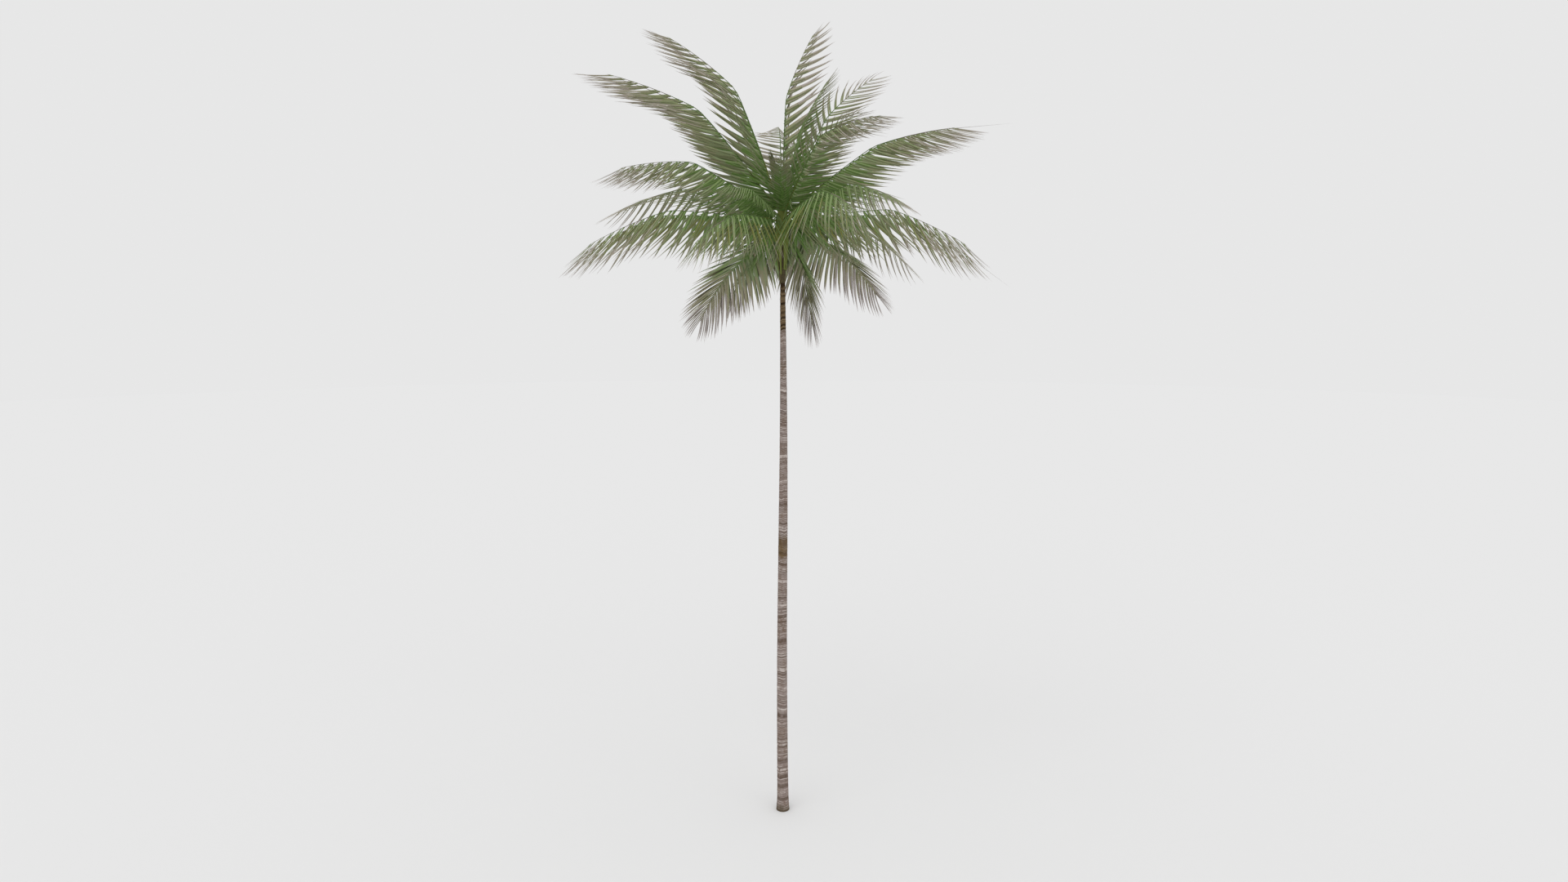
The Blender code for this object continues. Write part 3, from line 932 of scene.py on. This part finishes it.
# The age up to which a leaflet has each row of tones; past the last it is grey.
AGE_LIMITS = ((0.18, "heart"), (0.40, "fresh"), (0.66, "ripe"), (0.92, "dull"))


def tone_row(frond, share, side_sign, draw):
    """Picks a leaflet's row of tones: fresher near the crown's heart, duller towards the tip."""
    age = AGE_GAIN * share + FOOT_AGE + frond.age + draw.normal(0.0, AGE_SPREAD)
    if draw.random() < frond.gold:
        return TONE_ROWS["gold"]
    for rise, more in AGE_BY_RISE:
        if frond.rise > rise:
            age += more
    if frond.azimuth > 0.0 and frond.rise < LOW_RISE:
        age += OUTER_AGE if side_sign * (90.0 - frond.azimuth) < 0.0 else INNER_AGE
    for limit, name in AGE_LIMITS:
        if age < limit:
            return TONE_ROWS[name]
    return TONE_ROWS["grey"]


def section_slots(row, side_sign, hanging):
    """Slots round each ring: a half in its tone, a midrib, and a half in painted shade; on hanging
    fronds the first half takes painted light instead and the other keeps the plain tone.
    """
    slots = []
    for tone in row:
        rib = DRY_MIDRIB if tone in (KHAKI, MAUVE, PALE) else MIDRIB
        lit, dim = (LIFTED_BY_PAINTED_LIGHT[tone], tone) if hanging else (tone, PAINTED_FOLD_SHADE[tone])
        ring = [dim, rib, rib, lit, lit, dim]
        slots.append(ring if side_sign > 0.0 else ring[4::-1] + ring[5:])
    return slots


def leaning(along, outward, turns):
    """Directions that lean from the first to the second by each of the turns, a row for each."""
    return np.outer(np.cos(turns), along) + np.outer(np.sin(turns), outward)


def leaflet_size(look, frond, share, draw):
    """Length and width of a leaflet at a share of its rachis, with a little chance in both."""
    length = float(np.interp(share, LEAFLET_STATIONS, LEAFLET_LENGTHS)) * frond.size
    length *= draw.uniform(0.93, 1.03)
    past = max(share - NARROW_START, 0.0) / (1.0 - NARROW_START)
    width = look.leaflet_width * max(frond.size ** 2, LEAST_WIDTH) * (1.0 - TIP_NARROWING * past)
    if not LOW_RISE < frond.rise < STEEPEST:
        width *= BROADER
    return length, width * draw.uniform(0.85, 1.12)


def blade_rings(look, middle, across, above, width):
    """Rings round a folded blade: an edge, three points of the midrib, an edge, the underside."""
    stations = BLADE_STATIONS[:-1, None]
    half = (BLADE_WIDTHS * width / 2.0)[:, None]
    thin = 1.0 - TIP_THINNING * stations
    edge = half * look.leaflet_fold + BLADE_THICKNESS * 0.3 * thin
    rib = np.minimum(look.midrib_width / 2.0 * (1.0 - MIDRIB_TAPER * stations), half * 0.5)
    beside = rib * look.leaflet_fold
    return np.stack((
        middle - across * half - above * edge,
        middle - across * rib - above * beside,
        middle + above * MIDRIB_HEIGHT * thin,
        middle + across * rib - above * beside,
        middle + across * half - above * edge,
        middle - above * BLADE_THICKNESS * thin,
    ), axis=1)


def leaflet_rings(look, frond, line, share, side_sign, draw, bunch):
    """Rings down a curved, folded and slightly drooping leaflet, and its tip.

    The bunch is -1 or 1, for the first or second leaflet of two that stand close together.
    """
    along, side, upper = (np.array(axis) for axis in heading(frond, share, LEAFLET_SPREAD))
    lift = draw.normal(0.0, LIFT_SPREAD) + bunch * BUNCH_LIFT
    fold = math.radians(frond.keel - lift)
    outward = side * (side_sign * math.cos(fold)) - upper * math.sin(fold)
    sweep = sweep_of(frond, share) + FOOT_SWEEP * max(1.0 - share / FOOT_SHARE, 0.0)
    sweep = math.radians(sweep + draw.normal(0.0, SWEEP_SPREAD) + bunch * BUNCH_SWEEP)
    curve = look.leaflet_curve * draw.uniform(0.7, 1.3)
    length, width = leaflet_size(look, frond, share, draw)
    halfway = (BLADE_STATIONS[1:] + BLADE_STATIONS[:-1]) / 2.0
    steps = leaning(along, outward, sweep + curve * (0.5 - halfway))
    steps *= (np.diff(BLADE_STATIONS) * length)[:, None]
    root = np.array(point_at(line, share))
    centres = root + np.vstack((np.zeros(3), np.cumsum(steps, axis=0)))
    centres[:, 2] -= TIP_SAG * draw.uniform(0.6, 1.4) * length * BLADE_STATIONS ** 2
    turns = sweep + curve * (0.5 - BLADE_STATIONS[:-1])
    ahead = leaning(along, outward, turns)
    across = -leaning(outward, along, -turns)
    above = np.cross(ahead, across) * side_sign
    twist = draw.normal(0.0, TWIST) * BLADE_STATIONS[:-1, None]
    across, above = (
        across * np.cos(twist) + above * np.sin(twist),
        above * np.cos(twist) - across * np.sin(twist),
    )
    rings = blade_rings(look, centres[:-1], across, above, width)
    return (rings if side_sign > 0.0 else rings[:, ::-1]), centres[-1]


def add_leaflets(pile, look, frond, draw):
    """Adds bunches of two leaflets down each side of a frond."""
    line = rachis_line(frond)
    crowded = frond.rise < LOW_RISE or frond.size < YOUNG_SIZE
    pairs = look.pairs * 3 // 2 if crowded else look.pairs
    for side_sign in (-1.0, 1.0):
        for pair in range(pairs):
            for bunch in (-1.0, 1.0):
                place = (pair + 0.5 + bunch * BUNCH_GAP + draw.normal(0.0, STRAY)) / pairs
                share = min(FIRST_LEAFLET + (1.0 - FIRST_LEAFLET) * place, 1.0)
                rings, tip = leaflet_rings(look, frond, line, share, side_sign, draw, bunch)
                row = tone_row(frond, share, side_sign, draw)
                # Hanging fronds get painted light on their leaflets, the others painted shade on
                # one half of each.
                slots = section_slots(row, side_sign, frond.rise < LOW_RISE)
                pile.add_tube(rings.tolist(), tip.tolist(), slots)


def leaf_materials(tones):
    return [leaf_material(f"leaflet_{name}", getattr(tones, name), 0.5)
            for name in TONE_NAMES]


class PALM_OT_grow_leaflets(bpy.types.Operator):
    """Grow the leaflets of every frond, one piece for each tier of the crown"""
    bl_idname = "palm.grow_leaflets"
    bl_label = "Grow the leaflets"

    def execute(self, context):
        look = context.scene.palm_fronds
        finishes = leaf_materials(context.scene.palm_tones)
        draw = np.random.default_rng(look.seed)
        for tier, low, high in TIERS:
            fronds = [frond for frond in FRONDS if low <= frond.rise < high]
            pile = Pile()
            for frond in fronds:
                add_leaflets(pile, look, frond, draw)
            piece = new_piece(f"leaflets_{tier}", pile.mesh(f"leaflets_{tier}"), finishes)
            seat(piece, "frond", *frond_nodes(fronds))
        return {"FINISHED"}


# Head of leaf sheaths

CORE_INSET = 0.014
# The head's core draws in over this height from its foot up.
INSET_RISE = 0.3
CORE_SIDES = 48
STRAND_GRAIN = (60.0, 6.0)
STRAND_DEPTH = 0.004
# The core keeps its shape within this radius, at its top.
CORE_TIP = 0.02


def core_mesh():
    """The head's profile, drawn in a little and spun about its axis."""
    top = HEAD_PROFILE[-1][0] - CORE_INSET
    foot = HEAD_PROFILE[0][0]
    profile = [(max(radius - CORE_INSET * ease((level - foot) / INSET_RISE), 0.0), level)
               for level, radius in HEAD_PROFILE[:-1]]
    shape = bmesh.new()
    points = [shape.verts.new((radius, 0.0, level)) for radius, level in profile]
    points.append(shape.verts.new((0.0, 0.0, top)))
    edges = [shape.edges.new(pair) for pair in zip(points, points[1:])]
    bmesh.ops.subdivide_edges(shape, edges=edges, cuts=3)
    spin_round(shape, shape.verts[:] + shape.edges[:], CORE_SIDES)
    bmesh.ops.remove_doubles(shape, verts=shape.verts, dist=0.0002)
    close_ends(shape)
    for vert in shape.verts:
        radius = math.hypot(vert.co.x, vert.co.y)
        if radius > CORE_TIP:
            swell = 1.0 + STRAND_DEPTH * grain_at(vert.co, STRAND_GRAIN) / radius
            vert.co.x *= swell
            vert.co.y *= swell
        vert.co.x += HEAD_AXIS_X
    bmesh.ops.recalc_face_normals(shape, faces=shape.faces)
    mesh = mesh_of(shape, "head_fibre")
    mesh.shade_smooth()
    return mesh


SHEATH_SEED = 23
STRAP_ROWS = 16
STRAP_COLUMNS = 6
# A sheath reaches from above its frond's foot down to between these heights, lowest for the
# oldest, and a little higher by chance.
STRAP_ABOVE = 0.03
OLDEST_END = 12.11
YOUNGEST_END = 12.91
END_SPREAD = 0.12
# The rise, in degrees, of the fronds whose sheaths are oldest, and the span to the youngest
OLDEST_RISE = -20.0
RISE_SPAN = 80.0
STRAP_LEAN = 0.10
STRAP_NARROWING = 0.72
# How far a sheath stands off the head, and how much more an old one bulges
STRAP_GAP = 0.002
STRAP_BULGE = 0.006


def add_strap(shape, look, frond, draw):
    """One sheath: a grid wrapped down the head from the foot of its frond and thickened."""
    top = foot_of(frond).z + STRAP_ABOVE
    age = 1.0 - ease((frond.rise - OLDEST_RISE) / RISE_SPAN)
    low = OLDEST_END + (YOUNGEST_END - OLDEST_END) * (1.0 - age) + draw.uniform(0.0, END_SPREAD)
    grid = bmesh.ops.create_grid(
        shape, x_segments=STRAP_COLUMNS, y_segments=STRAP_ROWS, size=0.5)["verts"]
    azimuth = math.radians(frond.azimuth)
    lean = draw.normal(0.0, STRAP_LEAN)
    for vert in grid:
        across = vert.co.x * 2.0
        share = 0.5 - vert.co.y
        level = top + (low - top) * share
        width = look.strap_width * (1.0 - STRAP_NARROWING * ease(share * 1.1)) / 2.0
        radius = head_radius(level) + STRAP_GAP + STRAP_BULGE * age * (1.0 - across * across)
        angle = azimuth + lean * share + across * width / max(radius, 0.05)
        vert.co = Vector((
            HEAD_AXIS_X + radius * math.cos(angle), radius * math.sin(angle), level))
    faces = list({face for vert in grid for face in vert.link_faces})
    bmesh.ops.recalc_face_normals(shape, faces=faces)
    bmesh.ops.solidify(shape, geom=faces, thickness=-look.strap_thickness)


class PALM_OT_wrap_sheaths(bpy.types.Operator):
    """Wrap the head in fibre and in the sheaths of its fronds"""
    bl_idname = "palm.wrap_sheaths"
    bl_label = "Wrap the sheaths"

    def execute(self, context):
        look = context.scene.palm_head
        tones = context.scene.palm_tones
        core = new_piece("head_fibre", core_mesh(), [fibre_material(look)])
        seat(core, "sheath", "leaf_sheaths")
        draw = np.random.default_rng(SHEATH_SEED)
        shape = bmesh.new()
        for frond in FRONDS:
            add_strap(shape, look, frond, draw)
        bmesh.ops.recalc_face_normals(shape, faces=shape.faces)
        mesh = mesh_of(shape, "leaf_sheath_straps")
        smooth(mesh, 45.0)
        finish = leaf_material("sheath_green", tones.stalk, 0.55)
        straps = new_piece("leaf_sheath_straps", mesh, [finish])
        seat(straps, "sheath", "leaf_sheaths")
        return {"FINISHED"}


# Stage

# The lamps' tilt from overhead and their turn about the trunk, in degrees
KEY_AIM = (38.0, -32.0)
FILL_AIM = (60.0, 40.0)
# The floor lies this far under the flat cut, and the camera sees this far.
FLOOR_DROP = 0.001
VIEW_END = 1000.0


def floor_material(colour):
    return Shade("pale_floor", colour, 0.95, specular=0.0).finish()


class PALM_OT_set_stage(bpy.types.Operator):
    """Set out the floor, the light and the camera"""
    bl_idname = "palm.set_stage"
    bl_label = "Set the stage"

    def execute(self, context):
        look = context.scene.palm_stage
        self.lay_floor(look)
        self.hang_light(context, look)
        self.place_camera(context, look)
        return {"FINISHED"}

    def lay_floor(self, look):
        shape = bmesh.new()
        bmesh.ops.create_circle(shape, cap_ends=True, radius=look.floor_radius, segments=128)
        bmesh.ops.translate(shape, vec=(0.0, 0.0, -FLOOR_DROP), verts=shape.verts)
        floor = new_piece("floor", mesh_of(shape, "floor"), [floor_material(look.floor)])

    def hang_light(self, context, look):
        world = bpy.data.worlds.new("studio")
        world.use_nodes = True
        back = world.node_tree.nodes["Background"]
        back.inputs["Color"].default_value = (1.0, 1.0, 1.0, 1.0)
        back.inputs["Strength"].default_value = look.sky
        context.scene.world = world
        context.scene.view_settings.view_transform = "Standard"
        self.hang_lamp(context, "key", look.key, look.lamp_spread, KEY_AIM)
        self.hang_lamp(context, "fill", look.fill, look.lamp_spread, FILL_AIM)

    def hang_lamp(self, context, name, strength, spread, aim):
        """A wide sun lamp."""
        tilt, turn = aim
        lamp = bpy.data.lights.new(name, "SUN")
        lamp.energy = strength
        lamp.angle = spread
        hung = bpy.data.objects.new(name, lamp)
        hung.rotation_euler = (math.radians(tilt), 0.0, math.radians(turn))
        context.scene.collection.objects.link(hung)

    def place_camera(self, context, look):
        lens = bpy.data.cameras.new("camera")
        lens.sensor_width = 36.0
        lens.lens = look.focal
        lens.clip_end = VIEW_END
        camera = bpy.data.objects.new("camera", lens)
        camera.location = (look.camera_aside, -look.camera_back, look.camera_height)
        camera.rotation_euler = (math.radians(90.0) - look.camera_down, 0.0, 0.0)
        context.scene.collection.objects.link(camera)
        context.scene.camera = camera


# Sidebar

STEPS = ("set_stage", "grow_trunk", "wrap_sheaths", "draw_rachises", "grow_leaflets")


class PALM_PT_sidebar(bpy.types.Panel):
    """Lists the steps that grow the palm"""
    bl_idname = "PALM_PT_sidebar"
    bl_label = "Feather palm"
    bl_space_type = "VIEW_3D"
    bl_region_type = "UI"
    bl_category = "Palm"

    def draw(self, context):
        for step in STEPS:
            self.layout.operator(f"palm.{step}")


GROUPS = {
    "palm_trunk": PalmTrunkProperties,
    "palm_head": PalmHeadProperties,
    "palm_fronds": PalmFrondProperties,
    "palm_tones": PalmToneProperties,
    "palm_stage": PalmStageProperties,
}
CLASSES = (
    *GROUPS.values(),
    PALM_OT_set_stage,
    PALM_OT_grow_trunk,
    PALM_OT_wrap_sheaths,
    PALM_OT_draw_rachises,
    PALM_OT_grow_leaflets,
    PALM_PT_sidebar,
)


def register():
    for cls in CLASSES:
        bpy.utils.register_class(cls)
    for name, group in GROUPS.items():
        setattr(bpy.types.Scene, name, PointerProperty(type=group))


def unregister():
    for name in GROUPS:
        delattr(bpy.types.Scene, name)
    for cls in reversed(CLASSES):
        bpy.utils.unregister_class(cls)


def main():
    register()
    for step in STEPS:
        getattr(bpy.ops.palm, step)()


if __name__ == "__main__":
    main()
